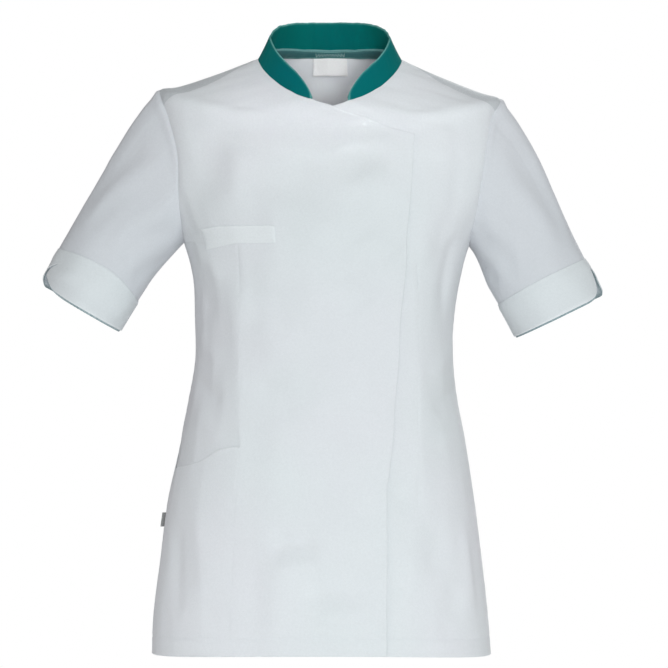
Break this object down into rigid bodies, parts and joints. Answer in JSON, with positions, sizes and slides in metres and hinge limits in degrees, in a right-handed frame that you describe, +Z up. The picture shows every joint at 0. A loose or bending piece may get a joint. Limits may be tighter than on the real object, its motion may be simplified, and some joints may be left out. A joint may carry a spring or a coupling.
{
  "type": "work tunic",
  "caption": "Short-sleeved women's work tunic with a wrap front, stand collar, hip pocket, chest welt and turned-back cuffs, hollow as if worn",
  "frame": {"origin": "between the shoulders, level with the side neck points, above the middle of the body's depth", "axes": "X across, the wearer's left at +X; Y from front to back, the front faces -Y; Z up"},
  "size_m": [0.6526, 0.2633, 0.7377],
  "materials": {
    "cloth_white": "matte polyester cotton twill",
    "yoke_cloth": "matte open mesh weave",
    "teal_cloth": "matte woven cloth",
    "tape_teal": "matte woven tape",
    "label_white": "satin ribbon, blank",
    "tab_grey": "matte woven tab, blank"
  },
  "bodies": {
    "root": {"back": "cloth_white", "front_right": "cloth_white", "front_right_side": "cloth_white", "front_left": "cloth_white", "hip_pocket": "cloth_white", "chest_welt": "cloth_white", "sleeve_right": "cloth_white", "sleeve_left": "cloth_white", "cuff_right": "cloth_white", "cuff_left": "cloth_white", "back_yoke": "yoke_cloth", "collar_outer": "teal_cloth", "collar_inner": "teal_cloth", "cuff_facing_right": "teal_cloth", "cuff_facing_left": "teal_cloth", "neck_tape": "tape_teal", "neck_label": "label_white", "side_tab": "tab_grey"}
  },
  "joints": []
}
